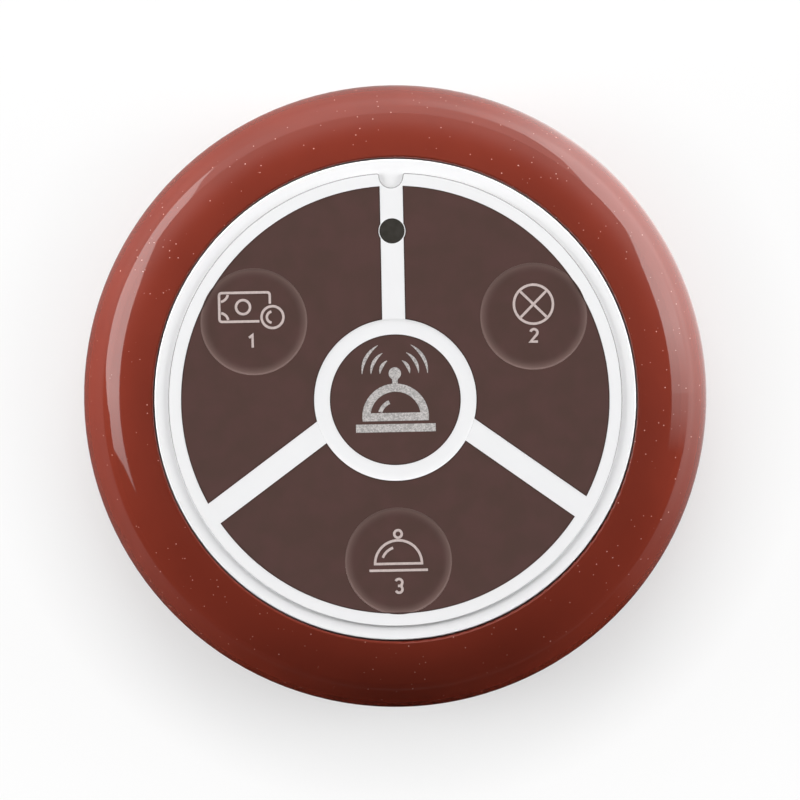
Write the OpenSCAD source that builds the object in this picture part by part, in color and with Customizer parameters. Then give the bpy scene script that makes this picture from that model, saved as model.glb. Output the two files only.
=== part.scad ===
// Waiter call button: a round, battery powered radio sender that lies face up on a table.
// Four press zones of the face film push four tactile switches on the board below.
// Origin: centre of the footprint at table level. +Z is up, +Y points to the film's notch at 12 o'clock.

/* [Overall] */
// Outside diameter of the body
body_d = 80; // [72:0.5:90]

/* [Outer ring] */
// Width of the ring seen from above, from the face opening to the outside
ring_w = 9; // [8.5:0.1:10]
// Radius of the ring's broad top round
crest_round_r = 12.3; // [12:0.1:13]
// Radius of the tighter round at the ring's side
side_round_r = 8.3; // [7.8:0.1:8.8]
// Radius of the lower round, where the ring tucks in towards the table
tuck_r = 12; // [11:0.5:20]
// Height of the top round's highest level above the white rim
crest_rise = 0.1; // [0:0.05:0.3]
// Wall thickness of the ring
ring_wall = 2.2; // [1.8:0.1:2.6]
// Extra thickness of the lip that the face frame clamps
lip_extra = 1; // [0.8:0.1:1.4]
// Rounding of the edge at the face opening
ring_edge_r = 0.3; // [0.2:0.1:0.8]

/* [Face frame] */
// Width of the white rim that the film leaves bare
rim_w = 1.75; // [1.4:0.05:2.2]
// Rounding of the rim's outer edge
rim_edge_r = 0.15; // [0.1:0.05:0.3]
// Thickness of the wall below the rim
frame_wall = 1.6; // [1.2:0.1:2]
// Thickness of the deck that carries the film
deck_t = 1.5; // [1.2:0.1:1.8]
// Thickness of the flange under the ring's lip
flange_t = 1.5; // [1:0.1:2]

/* [Film] */
// Thickness of the film with its adhesive
film_t = 0.3; // [0.3:0.05:0.5]
// Gap between the film and the light window
film_gap = 0.15; // [0.1:0.05:0.25]
// Width of the notch at 12 o'clock
notch_w = 3; // [2.4:0.1:3.4]
// Length of the notch, inwards from the film's edge
notch_l = 1.9; // [1.6:0.1:2.4]
// Rounding of the film's corners beside the notch
notch_corner_r = 0.35; // [0.2:0.05:0.8]

/* [Keys] */
// Diameter of the three outer press zones
key_d = 13.7; // [12:0.1:15]
// Distance from the film's edge in to the edge of an outer zone
key_inset = 1.55; // [1:0.05:2.5]
// Distance between an outer zone and the centre zone
zone_spacing = 3.45; // [2:0.05:4.5]
// Depth of the outer zones' dishes below the film
dish_depth = 0.2; // [0.1:0.05:0.25]
// Width of those dishes' sloped edge
dish_edge_w = 1.2; // [0.5:0.1:1.5]
// Depth of the centre zone's dish below the film
call_dish_depth = 0.1; // [0.05:0.05:0.25]
// Width of that dish's sloped edge
call_edge_w = 0.4; // [0.3:0.1:1]
// Gap round each press zone
key_gap = 0.15; // [0.1:0.05:0.25]
// Height of the nub under each zone
nub_h = 0.1; // [0.05:0.05:0.2]

/* [Switches] */
// Width of a switch body
switch_w = 6; // [5:0.1:6.5]
// Height of a switch body
switch_h = 3.4; // [3.2:0.1:3.5]
// Diameter of a switch stem
stem_d = 3.5; // [3:0.1:4]
// Height of a stem's top above the board
stem_top_h = 4.3; // [4.2:0.05:4.5]
// Length of a stem
stem_l = 2.1; // [1.6:0.1:2.4]
// Room for the stem to travel
stem_room = 0.5; // [0.4:0.05:0.6]
// Radial gap between stem and switch body
stem_gap = 0.1; // [0.05:0.01:0.15]

/* [Light] */
// Diameter of the light window
light_d = 3.2; // [3:0.1:3.6]
// Distance from the film's edge in to the window's middle
light_inset = 7.45; // [6.5:0.05:8]
// Width of the window's hidden flange
light_flange_w = 0.65; // [0.4:0.05:0.8]
// Thickness of that flange
light_flange_t = 1; // [0.7:0.05:1.1]
// Diameter of the light-emitting diode
led_d = 3; // [2.6:0.1:3]
// Height of the diode above the board
led_h = 3.2; // [2.6:0.1:3.3]

/* [Board] */
// Thickness of the circuit board
board_t = 1.2; // [1:0.1:1.4]
// Gap between the board's edge and the skirt, and round the bosses
board_gap = 0.4; // [0.2:0.05:0.6]
// Distance from the case bosses in to the antenna loop
antenna_inset = 2; // [1:0.1:3]
// Diameter of the antenna wire
antenna_wire_d = 0.8; // [0.5:0.1:1]
// Distance of the loop below the board
antenna_drop = 0.6; // [0.4:0.1:1.5]

/* [Battery] */
// Diameter of the battery
battery_d = 10.3; // [9:0.1:12]
// Length of the battery with its nub
battery_l = 28.5; // [27:0.1:31]
// Free height between the battery and the board
head_room = 0.6; // [0.4:0.1:2]
// Distance between the compartment and the heads of the board screws
cell_margin = 1; // [0.5:0.1:1.5]
// Gap round the battery
battery_gap = 0.3; // [0.2:0.05:0.35]
// Length of the pressed spring
spring_l = 2.25; // [2:0.05:2.5]
// Thickness of the contact plates
contact_t = 0.5; // [0.3:0.05:0.6]
// Width of the contact plates
contact_w = 8; // [6:0.5:9]
// Wall of the battery compartment
cell_wall = 1.2; // [0.8:0.1:1.4]

/* [Base] */
// Thickness of the base plate
base_t = 2; // [1.8:0.1:2.4]
// Step from the ring's lower edge in to the base
base_step = 0.8; // [0.4:0.1:1.2]
// Chamfer of the base's lower edge
base_chamfer = 0.5; // [0.2:0.1:0.7]
// Height of the locating rim inside the ring
locate_h = 2.2; // [1:0.1:3]
// Wall of the locating rim
locate_wall = 1.4; // [1:0.1:2]
// Clearance between parts of the casing
case_gap = 0.15; // [0.1:0.05:0.25]

/* [Feet] */
// Diameter of a foot
foot_d = 8; // [7:0.25:8.5]
// How far a foot stands out of the base
foot_stand = 0.8; // [0.6:0.1:1]
// Depth of a foot's recess
foot_recess = 0.6; // [0.4:0.1:0.8]
// Distance from the base's edge in to a foot
foot_edge = 3.1; // [2:0.1:4]
// Distance between the door's rails and a foot
foot_margin = 0.8; // [0.4:0.1:1.5]

/* [Battery door] */
// Thickness of the door
door_t = 1.2; // [1.1:0.05:1.3]
// How far the door reaches past each end of the compartment
door_side_lap = 1.6; // [1.2:0.1:2.5]
// Width of a rail
rail_w = 1; // [0.6:0.1:1.1]
// Thickness of the lip below a rail
rail_lip = 0.5; // [0.4:0.05:0.6]
// How far the door reaches past the compartment's inner side
door_lap = 1.5; // [1:0.1:2.5]
// Clearance round the door
door_gap = 0.15; // [0.1:0.01:0.2]
// Number of grip grooves in the door
grip_count = 5; // [3:1:6]

/* [Screws] */
// Distance from the frame's wall in to the middle of a case screw
case_screw_inset = 1.75; // [1.5:0.05:2.5]
// Diameter of the case screws
case_screw_d = 2; // [1.8:0.1:2.4]
// Length of the case screws below the head
case_screw_l = 10; // [7:0.5:12]
// Outside diameter of the case bosses
case_boss_d = 6; // [5.2:0.1:6.2]
// Distance between the centre zone and a board boss
board_boss_margin = 3.05; // [1:0.05:3.5]
// Diameter of the board screws
board_screw_d = 1.6; // [1.4:0.1:1.8]
// Outside diameter of the board bosses
board_boss_d = 4.6; // [4:0.1:4.8]

/* [Hidden] */
$fn = 96;

// Overshoot of a cut past the face that it opens
cut = 1;

// Levels, from the table up
base_z = foot_stand;
door_top_z = base_z + door_t;
seat_z = base_z + base_t;
cell_floor_z = door_top_z + battery_gap;
battery_z = cell_floor_z + battery_d / 2;
board_low_z = cell_floor_z + battery_d + head_room;
board_z = board_low_z + board_t;
deck_z = board_z + stem_top_h + nub_h;
deck_low_z = deck_z - deck_t;
film_z = deck_z + film_t;
crest_top_z = deck_z + crest_rise;
land_z = crest_top_z - ring_wall - lip_extra;

// Direction in which the ring's top round ends and its side round starts, from a 3-4-5 triangle
TURN = [0.6, 0.8];

// Radii of the casing
body_r = body_d / 2;
side_r = body_r - side_round_r;
crest_r = side_r - (crest_round_r - side_round_r) * TURN[0];
crest_z = crest_top_z - crest_round_r;
equator_z = crest_z + (crest_round_r - side_round_r) * TURN[1];
tuck_c = body_r - tuck_r;
face_r = body_r - ring_w;
rim_r = face_r - case_gap;
film_r = rim_r - rim_w;
wall_in_r = rim_r - frame_wall;
crest_in_r = crest_round_r - ring_wall;
tuck_in_r = tuck_r - ring_wall;
flange_r = crest_r + sqrt(pow(crest_in_r, 2) - pow(land_z - crest_z, 2)) - case_gap;
ring_low_r = tuck_c + sqrt(pow(tuck_r, 2) - pow(equator_z - seat_z, 2));
ring_low_in_r = tuck_c + sqrt(pow(tuck_in_r, 2) - pow(equator_z - seat_z, 2));
base_r = ring_low_r - base_step;
locate_r = ring_low_in_r - case_gap;
board_r = wall_in_r - board_gap;
light_r = film_r - light_inset;

// Places of the outer press zones: [x, y]
key_circle_r = film_r - key_inset - key_d / 2;
cancel_at = key_circle_r * [cos(30), sin(30)];
pay_at = key_circle_r * [cos(150), sin(150)];
order_at = key_circle_r * [cos(270), sin(270)];
call_at = [0, 0];
call_key_d = 2 * (key_circle_r - zone_spacing) - key_d;

// Press zones as [place, diameter], for the holes that they move in
ZONES = [[call_at, call_key_d], [cancel_at, key_d], [pay_at, key_d], [order_at, key_d]];

// Screws
CASE_SCREW_ANGLES = [0, 90, 180];
BOARD_SCREW_ANGLES = [90, 210, 330];
case_screw_r = wall_in_r - case_screw_inset;
board_screw_r = call_key_d / 2 + board_boss_margin + board_boss_d / 2;
thread_gap = 0.02;
hole_gap = 0.2;
boss_root = deck_t / 2;
head_h = 1.1;
case_head_r = case_screw_d;
board_head_r = 1.15 * board_screw_d;
head_sink_h = 1.2;
slot_w = 0.5;
slot_depth = 0.5;
case_screw_seat_z = base_z + head_sink_h;
board_screw_l = board_t + 0.7 * (deck_low_z - board_z);

// Battery compartment, past the heads of the two board screws that are nearest to it
cell_half_l = (battery_l + spring_l + 2 * contact_t) / 2;
cell_half_w = battery_d / 2 + battery_gap;
cell_top_z = board_low_z - board_gap;
battery_x = -cell_half_l + contact_t + spring_l;
battery_y = board_screw_r * sin(30) + board_head_r + cell_margin + cell_wall + cell_half_w;
contact_low_z = battery_z - battery_d / 4;
nub_l = 1.2;
nub_d = 5.5;
battery_chamfer = 0.4;
spring_wire_d = 0.5;
spring_turns = 3.25;
spring_big_r = 3.6;
spring_small_r = 1.8;

// Door and feet
door_y = battery_y - cell_half_w - door_lap;
door_w = 2 * (cell_half_l + door_side_lap);
grip_w = 0.8;
grip_depth = 0.3;
grip_l = 12;
grip_edge = 2.6;
foot_circle_r = base_r - foot_edge - foot_d / 2;
foot_x = door_w / 2 + rail_w + foot_margin + foot_d / 2;
foot_y = sqrt(pow(foot_circle_r, 2) - pow(foot_x, 2));

// Small parts under the board
chip_size = [5, 4, 1.5];
chip_at = [-6, 4];
chip_leg = [0.4, 1, 0.25];
antenna_r = case_screw_r - case_boss_d / 2 - antenna_inset;
transistor_size = [2.9, 1.3, 1];
transistor_at = [5, -2];
resonator_d = 9;
resonator_h = 3.4;
resonator_at = [9, 8];
RESISTORS = [[-12, -2], [-8, -3], [-12, 9], [-3, 10], [4, 2], [1, -4]];
CAPACITORS = [[-13, 5], [-6, 9], [4, 14], [13, 0], [-1, 6]];
resistor_size = [2, 1.25, 0.5];
capacitor_size = [2, 1.25, 0.9];

// Lays a child at each of several angles on a circle
module round_about(angles, r)
{
    for (a = angles)
        rotate(a)
            translate([r, 0, 0])
                children();
}

// Half-section of the ring's filled shape, drawn in by an inset: a broad top round, a tighter side
// round that it turns into, and the lower round that tucks in
module ring_fill(inset, inner_r, low_z)
{
    reach = 1.25 * crest_round_r;
    intersection()
    {
        translate([crest_r, crest_z])
            circle(crest_round_r - inset);
        translate([crest_r, crest_z])
            polygon([[0, 0], [-reach, 0], [-reach, reach], [0, reach], reach * TURN]);
        translate([inner_r, crest_z])
            square([body_r - inner_r, crest_round_r]);
    }
    intersection()
    {
        translate([side_r, equator_z])
            circle(side_round_r - inset);
        translate([side_r, equator_z])
            polygon([[0, 0], reach * TURN, [reach, reach], [reach, 0]]);
    }
    intersection()
    {
        translate([tuck_c, equator_z])
            circle(tuck_r - inset);
        translate([inner_r, low_z])
            square([body_r - inner_r, equator_z - low_z]);
    }
}

// Room inside the ring, flat under the lip that the face frame clamps
module ring_room()
{
    intersection()
    {
        ring_fill(ring_wall, face_r - cut, seat_z - cut);
        translate([0, seat_z - cut])
            square([body_r, land_z - seat_z + cut]);
    }
}

module outer_ring()
{
    color([0.48, 0.2, 0.14])
        rotate_extrude()
            difference()
            {
                ring_fill(0, face_r, seat_z);
                ring_room();
                ring_edge_cut();
            }
}

// What the rounding takes off the ring's inner top edge, up to where it runs into the top round
module ring_edge_cut()
{
    middle_r = face_r + ring_edge_r;
    middle_rise = sqrt(pow(crest_round_r - ring_edge_r, 2) - pow(middle_r - crest_r, 2));
    outward = [middle_r - crest_r, middle_rise] / (crest_round_r - ring_edge_r);
    difference()
    {
        translate([middle_r, crest_z + middle_rise])
            polygon([
                [0, 0],
                [-ring_edge_r - cut, 0],
                [-ring_edge_r - cut, 2 * cut],
                2 * cut * outward
            ]);
        translate([middle_r, crest_z + middle_rise])
            circle(ring_edge_r);
    }
}

// The frame's wall below the white rim, with its flange and skirt, as a half-section
module wall_section()
{
    difference()
    {
        translate([wall_in_r, land_z - flange_t])
            square([frame_wall, deck_z - land_z + flange_t]);
        difference()
        {
            translate([rim_r - rim_edge_r, deck_z - rim_edge_r])
                square(rim_edge_r + cut);
            translate([rim_r - rim_edge_r, deck_z - rim_edge_r])
                circle(rim_edge_r);
        }
    }
    translate([wall_in_r, land_z - flange_t])
        square([flange_r - wall_in_r, flange_t]);
    translate([wall_in_r, board_low_z])
        square([frame_wall, land_z - flange_t - board_low_z]);
}

// Outline of the notch in the film's edge, which opens out over the rounded corners beside it
module notch_outline()
{
    half_w = notch_w / 2;
    tip_y = film_r - notch_l + half_w;
    corner_x = half_w + notch_corner_r;
    corner_y = sqrt(pow(film_r - notch_corner_r, 2) - pow(corner_x, 2));
    translate([0, tip_y])
        circle(half_w);
    translate([-half_w, tip_y])
        square([notch_w, film_r - tip_y + cut]);
    difference()
    {
        translate([-corner_x, corner_y])
            square([2 * corner_x, film_r - corner_y + cut]);
        for (side = [-1, 1])
            translate([side * corner_x, corner_y])
                circle(notch_corner_r);
    }
}

module face_frame()
{
    color([0.93, 0.93, 0.92])
        difference()
        {
            union()
            {
                rotate_extrude()
                    wall_section();
                translate([0, 0, deck_low_z])
                    cylinder(h = deck_t, r = wall_in_r + frame_wall / 2);
                round_about(CASE_SCREW_ANGLES, case_screw_r)
                    translate([0, 0, seat_z])
                        cylinder(h = deck_low_z + boss_root - seat_z, d = case_boss_d);
                round_about(BOARD_SCREW_ANGLES, board_screw_r)
                    translate([0, 0, board_z])
                        cylinder(h = deck_low_z + boss_root - board_z, d = board_boss_d);
            }
            for (zone = ZONES)
                translate([zone[0][0], zone[0][1], deck_low_z - cut])
                    cylinder(h = deck_t + 2 * cut, r = zone[1] / 2 + key_gap);
            translate([0, light_r, deck_low_z - cut])
                cylinder(h = deck_t + 2 * cut, d = light_d);
            translate([0, light_r, deck_z - light_flange_t])
                cylinder(h = light_flange_t + cut, r = light_d / 2 + light_flange_w + film_gap);
            round_about(CASE_SCREW_ANGLES, case_screw_r)
                translate([0, 0, seat_z - cut])
                    cylinder(h = case_screw_l + cut, r = case_screw_d / 2 + thread_gap);
            round_about(BOARD_SCREW_ANGLES, board_screw_r)
                translate([0, 0, board_z - cut])
                    cylinder(h = deck_low_z - board_z + cut, r = board_screw_d / 2 + thread_gap);
        }
}

module overlay_film()
{
    color([0.95, 0.95, 0.94])
        translate([0, 0, deck_z])
            linear_extrude(film_t)
                difference()
                {
                    circle(film_r);
                    notch_outline();
                    for (zone = ZONES)
                        translate(zone[0])
                            circle(zone[1] / 2 + key_gap);
                    translate([0, light_r])
                        circle(light_d / 2 + film_gap);
                }
}

module light_window()
{
    color([0.23, 0.24, 0.21])
        translate([0, light_r, 0])
        {
            translate([0, 0, deck_z - light_flange_t])
                cylinder(h = light_flange_t, r = light_d / 2 + light_flange_w);
            translate([0, 0, deck_z - light_flange_t])
                cylinder(h = light_flange_t + film_t, d = light_d);
        }
}

// A press zone: film disc pressed down to a shallow dish, with a nub on the switch stem
module press_zone(place, diameter, depth, edge_w)
{
    r = diameter / 2;
    translate([place[0], place[1], 0])
    {
        rotate_extrude()
            polygon([
                [0, deck_z],
                [r, deck_z],
                [r, film_z],
                [r - edge_w, film_z - depth],
                [0, film_z - depth]
            ]);
        translate([0, 0, deck_z - nub_h])
            cylinder(h = nub_h + film_t / 4, d = stem_d);
    }
}

module outer_zone(place)
{
    color([0.37, 0.28, 0.26])
        press_zone(place, key_d, dish_depth, dish_edge_w);
}

module call_key()
{
    color([0.37, 0.28, 0.26])
        press_zone(call_at, call_key_d, call_dish_depth, call_edge_w);
}

module pay_key() { outer_zone(pay_at); }

module cancel_key() { outer_zone(cancel_at); }

module order_key() { outer_zone(order_at); }

module stem(place)
{
    color([0.12, 0.12, 0.12])
        translate([place[0], place[1], board_z + stem_top_h - stem_l])
            cylinder(h = stem_l, d = stem_d);
}

module call_stem() { stem(call_at); }

module pay_stem() { stem(pay_at); }

module cancel_stem() { stem(cancel_at); }

module order_stem() { stem(order_at); }

// A tactile switch: box with a well for the stem and four feet soldered to the board
module switch_body(place)
{
    pad = [1.2, 0.7, 0.3];
    color([0.72, 0.72, 0.7])
        translate([place[0], place[1], board_z])
            difference()
            {
                union()
                {
                    translate([-switch_w / 2, -switch_w / 2, 0])
                        cube([switch_w, switch_w, switch_h]);
                    for (sx = [-1, 1], sy = [-1, 1])
                        translate([sx * (switch_w / 2 + pad[0] / 2 - 0.1), sy * switch_w / 3, pad[2] / 2])
                            cube(pad, center = true);
                }
                translate([0, 0, stem_top_h - stem_l - stem_room])
                    cylinder(h = switch_h + cut, r = stem_d / 2 + stem_gap);
            }
}

module call_switch() { switch_body(call_at); }

module pay_switch() { switch_body(pay_at); }

module cancel_switch() { switch_body(cancel_at); }

module order_switch() { switch_body(order_at); }

module circuit_board()
{
    color([0.08, 0.34, 0.18])
        difference()
        {
            translate([0, 0, board_low_z])
                cylinder(h = board_t, r = board_r);
            round_about(CASE_SCREW_ANGLES, case_screw_r)
                translate([0, 0, board_low_z - cut])
                    cylinder(h = board_t + 2 * cut, r = case_boss_d / 2 + board_gap);
            round_about(BOARD_SCREW_ANGLES, board_screw_r)
                translate([0, 0, board_low_z - cut])
                    cylinder(h = board_t + 2 * cut, r = board_screw_d / 2 + hole_gap);
        }
}

module status_led()
{
    flange_h = 0.8;
    color([0.85, 0.9, 0.85])
        translate([0, light_r, board_z])
        {
            cylinder(h = flange_h, d = led_d + 0.6);
            cylinder(h = led_h - led_d / 4, d = led_d);
            translate([0, 0, led_h - led_d / 4])
                rotate_extrude()
                    intersection()
                    {
                        square([led_d / 2, led_d / 4]);
                        translate([0, -led_d * 3 / 8])
                            circle(led_d * 5 / 8);
                    }
        }
}

module encoder_chip()
{
    leg_pitch = 1.27;
    color([0.1, 0.1, 0.11])
        translate([chip_at[0], chip_at[1], board_low_z])
        {
            translate([-chip_size[0] / 2, -chip_size[1] / 2, -chip_size[2]])
                cube([chip_size[0], chip_size[1], chip_size[2] - 0.1]);
            for (i = [-1.5:1:1.5], side = [-1, 1])
                translate([i * leg_pitch, side * (chip_size[1] / 2 + chip_leg[1] / 2 - 0.1), 0])
                {
                    translate([0, 0, -chip_leg[2] / 2])
                        cube(chip_leg, center = true);
                    translate([0, -side * (chip_leg[1] - chip_leg[2]) / 2, -0.5])
                        cube([chip_leg[0], chip_leg[2], 1], center = true);
                }
        }
}

module radio_transistor()
{
    color([0.1, 0.1, 0.11])
        translate([transistor_at[0], transistor_at[1], board_low_z])
        {
            translate([-transistor_size[0] / 2, -transistor_size[1] / 2, -transistor_size[2]])
                cube(transistor_size);
            for (leg = [[-0.95, -1], [0.95, -1], [0, 1]])
                translate([leg[0], leg[1], -0.1])
                    cube([0.4, 0.9, 0.2], center = true);
        }
}

module radio_resonator()
{
    brim_h = 0.6;
    brim_w = 0.3;
    color([0.75, 0.75, 0.76])
        translate([resonator_at[0], resonator_at[1], board_low_z])
        {
            translate([0, 0, -brim_h])
                cylinder(h = brim_h, r = resonator_d / 2 + brim_w);
            translate([0, 0, -resonator_h])
                cylinder(h = resonator_h, d = resonator_d);
        }
}

module antenna_wire()
{
    loop_z = board_low_z - antenna_drop - antenna_wire_d / 2;
    start_angle = 20;
    sweep_angle = 140;
    color([0.78, 0.5, 0.28])
    {
        translate([0, 0, loop_z])
            rotate(start_angle)
                rotate_extrude(angle = sweep_angle)
                    translate([antenna_r, 0])
                        circle(d = antenna_wire_d);
        rotate(start_angle)
            translate([antenna_r, 0, loop_z])
                cylinder(h = board_low_z - loop_z, d = antenna_wire_d);
    }
}

// Small parts that lie flat under the board
module under_board(places, size)
{
    for (at = places)
        translate([at[0] - size[0] / 2, at[1] - size[1] / 2, board_low_z - size[2]])
            cube(size);
}

module resistors() { color([0.09, 0.09, 0.1]) under_board(RESISTORS, resistor_size); }

module capacitors() { color([0.6, 0.5, 0.38]) under_board(CAPACITORS, capacitor_size); }

module battery()
{
    r = battery_d / 2;
    color([0.75, 0.62, 0.3])
        translate([battery_x, -battery_y, battery_z])
            rotate([0, 90, 0])
                rotate_extrude()
                    polygon([
                        [0, 0],
                        [r - battery_chamfer, 0],
                        [r, battery_chamfer],
                        [r, battery_l - nub_l - battery_chamfer],
                        [r - battery_chamfer, battery_l - nub_l],
                        [nub_d / 2, battery_l - nub_l],
                        [nub_d / 2, battery_l],
                        [0, battery_l]
                    ]);
}

// A contact plate that hangs from the board, with its inner face at x
module contact_plate(x, side)
{
    translate([side > 0 ? x : x - contact_t, -battery_y - contact_w / 2, contact_low_z])
        cube([contact_t, contact_w, board_low_z - contact_low_z]);
}

// Tapered helix along +Z: rings of points round its centre line, joined into one closed tube
module coil(big_r, small_r, length, turns, wire_d)
{
    sides = 8;
    steps = 72;
    rings = [
        for (i = [0:steps])
            let (
                t = i / steps,
                r = big_r + (small_r - big_r) * t,
                a = 360 * turns * t
            )
                [for (k = [0:sides - 1])
                    let (
                        b = 360 * k / sides,
                        reach = r + wire_d / 2 * cos(b)
                    )
                        [reach * cos(a), reach * sin(a), length * t + wire_d / 2 * sin(b)]]
    ];
    points = [for (ring = rings) each ring];
    walls = [
        for (i = [0:steps - 1], k = [0:sides - 1])
            let (n = (k + 1) % sides, low = i * sides, high = low + sides)
                each [[low + k, high + n, high + k], [low + k, low + n, high + n]]
    ];
    start_cap = [for (k = [sides - 1:-1:0]) k];
    end_cap = [for (k = [0:sides - 1]) steps * sides + k];
    polyhedron(points, concat(walls, [start_cap, end_cap]));
}

module battery_spring()
{
    color([0.7, 0.71, 0.72])
    {
        contact_plate(-cell_half_l + contact_t, -1);
        translate([-cell_half_l + contact_t, -battery_y, battery_z])
            rotate([0, 90, 0])
                coil(
                    spring_big_r,
                    spring_small_r,
                    spring_l - spring_wire_d / 2,
                    spring_turns,
                    spring_wire_d
                );
    }
}

module battery_plate() { color([0.7, 0.71, 0.72]) contact_plate(cell_half_l - contact_t, 1); }

// Room for the door, or the door itself when the gap is 0
module door_shape(gap, reach)
{
    lip_z = base_z + rail_lip;
    translate([-door_w / 2 - gap, -reach, base_z - (gap > 0 ? cut : 0)])
        cube([door_w + 2 * gap, reach - door_y + gap, door_t + gap + (gap > 0 ? cut : 0)]);
    translate([-door_w / 2 - rail_w - gap, -reach, lip_z + (gap > 0 ? 0 : door_gap)])
        cube([
            door_w + 2 * rail_w + 2 * gap,
            reach - door_y + gap,
            door_top_z - lip_z + (gap > 0 ? gap : -door_gap)
        ]);
}

// Disc of the base with its chamfered lower edge
module base_disc()
{
    translate([0, 0, base_z])
        cylinder(h = base_chamfer, r1 = base_r - base_chamfer, r2 = base_r);
    translate([0, 0, base_z + base_chamfer])
        cylinder(h = base_t - base_chamfer, r = base_r);
}

module at_feet()
{
    for (sx = [-1, 1], sy = [-1, 1])
        translate([sx * foot_x, sy * foot_y, 0])
            children();
}

// Block of the battery compartment, grown by a margin, between two levels
module cell_box(margin, low_z, high_z)
{
    half_l = cell_half_l + margin;
    half_w = cell_half_w + margin;
    translate([-half_l, -half_w, low_z])
        cube([2 * half_l, 2 * half_w, high_z - low_z]);
}

module base_cover()
{
    color([0.2, 0.13, 0.11])
        difference()
        {
            union()
            {
                base_disc();
                translate([0, 0, seat_z])
                    difference()
                    {
                        cylinder(h = locate_h, r = locate_r);
                        translate([0, 0, -cut])
                            cylinder(h = locate_h + 2 * cut, r = locate_r - locate_wall);
                    }
                translate([0, -battery_y, 0])
                    cell_box(cell_wall, base_z + base_t / 2, cell_top_z);
            }
            translate([0, -battery_y, 0])
                cell_box(0, base_z - cut, cell_top_z + cut);
            door_shape(door_gap, body_r);
            at_feet()
                translate([0, 0, base_z - cut])
                    cylinder(h = foot_recess + cut, r = foot_d / 2 + case_gap);
            round_about(CASE_SCREW_ANGLES, case_screw_r)
            {
                translate([0, 0, base_z - cut])
                    cylinder(h = head_sink_h + cut, r = case_head_r + hole_gap);
                cylinder(h = seat_z + cut, r = case_screw_d / 2 + hole_gap);
            }
        }
}

module battery_door()
{
    color([0.2, 0.13, 0.11])
        difference()
        {
            intersection()
            {
                door_shape(0, body_r);
                base_disc();
            }
            for (i = [0:grip_count - 1])
                translate([-grip_l / 2, -base_r + grip_edge + i * 2 * grip_w, base_z - cut])
                    cube([grip_l, grip_w, grip_depth + cut]);
        }
}

module rubber_feet()
{
    edge = 0.3;
    color([0.08, 0.08, 0.08])
        at_feet()
        {
            cylinder(h = edge, r1 = foot_d / 2 - edge, r2 = foot_d / 2);
            translate([0, 0, edge])
                cylinder(h = foot_stand + foot_recess - edge, d = foot_d);
        }
}

// A pan-head screw that points up, with its head's bearing face at z = 0 and a cross slot below
module screw(length, diameter, head_r)
{
    difference()
    {
        union()
        {
            translate([0, 0, -head_h])
                cylinder(h = head_h, r = head_r);
            cylinder(h = length, d = diameter);
        }
        for (a = [0, 90])
            rotate(a)
                translate([-head_r * 0.6, -slot_w / 2, -head_h - cut])
                    cube([head_r * 1.2, slot_w, slot_depth + cut]);
    }
}

module case_screws()
{
    color([0.7, 0.7, 0.72])
        round_about(CASE_SCREW_ANGLES, case_screw_r)
            translate([0, 0, case_screw_seat_z])
                screw(case_screw_l, case_screw_d, case_head_r);
}

module board_screws()
{
    color([0.7, 0.7, 0.72])
        round_about(BOARD_SCREW_ANGLES, board_screw_r)
            translate([0, 0, board_low_z])
                screw(board_screw_l, board_screw_d, board_head_r);
}

outer_ring();
face_frame();
overlay_film();
light_window();
call_key();
pay_key();
cancel_key();
order_key();
call_stem();
pay_stem();
cancel_stem();
order_stem();
call_switch();
pay_switch();
cancel_switch();
order_switch();
circuit_board();
status_led();
encoder_chip();
radio_transistor();
radio_resonator();
antenna_wire();
resistors();
capacitors();
battery();
battery_spring();
battery_plate();
base_cover();
battery_door();
rubber_feet();
case_screws();
board_screws();
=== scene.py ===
"""Looks of a round waiter call button: a glossy ring round a printed face with four dished press zones."""
import math

import bpy
from bpy.props import FloatProperty, FloatVectorProperty, PointerProperty
from mathutils import Matrix, Vector
from mathutils.geometry import tessellate_polygon


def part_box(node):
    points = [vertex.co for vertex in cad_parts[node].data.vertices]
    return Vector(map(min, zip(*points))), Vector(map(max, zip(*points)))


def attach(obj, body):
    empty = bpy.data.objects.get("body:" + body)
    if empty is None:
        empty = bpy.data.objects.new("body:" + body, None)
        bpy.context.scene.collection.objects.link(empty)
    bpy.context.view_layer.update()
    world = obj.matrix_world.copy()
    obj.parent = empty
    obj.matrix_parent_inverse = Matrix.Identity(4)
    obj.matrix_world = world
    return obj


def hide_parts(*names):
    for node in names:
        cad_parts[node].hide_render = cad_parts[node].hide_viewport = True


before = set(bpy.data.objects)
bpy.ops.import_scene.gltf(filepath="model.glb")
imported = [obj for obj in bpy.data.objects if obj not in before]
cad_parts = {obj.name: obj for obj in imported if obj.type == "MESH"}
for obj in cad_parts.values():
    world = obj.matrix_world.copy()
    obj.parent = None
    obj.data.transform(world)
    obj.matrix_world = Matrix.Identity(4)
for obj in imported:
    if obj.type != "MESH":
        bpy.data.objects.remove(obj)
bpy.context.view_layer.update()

bl_info = {
    "name": "Waiter Call Button",
    "version": (1, 0, 0),
    "blender": (4, 5, 0),
    "location": "3D View > Sidebar > Call Button",
    "description": "Finishes, prints and press zones of a tabletop call button",
    "category": "Object",
}

MM = 0.001
MICRON = 1e-6
KEYS = ("call", "pay", "cancel", "order")


def linear(red, green, blue):
    """Linear colour of a display colour given in steps of 255."""
    steps = [channel / 255 for channel in (red, green, blue)]
    return tuple(s / 12.92 if s <= 0.04045 else ((s + 0.055) / 1.055) ** 2.4 for s in steps)


def a_colour(name, description, display):
    colour = linear(*display)
    return FloatVectorProperty(
        name=name, description=description, subtype="COLOR", size=3, min=0.0, max=1.0, default=colour
    )


def a_length(name, description, millimetres, least=0.0):
    length = millimetres * MM
    return FloatProperty(name=name, description=description, unit="LENGTH", min=least * MM, default=length)


def an_angle(name, description, degrees):
    return FloatProperty(name=name, description=description, subtype="ANGLE", default=math.radians(degrees))


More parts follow.
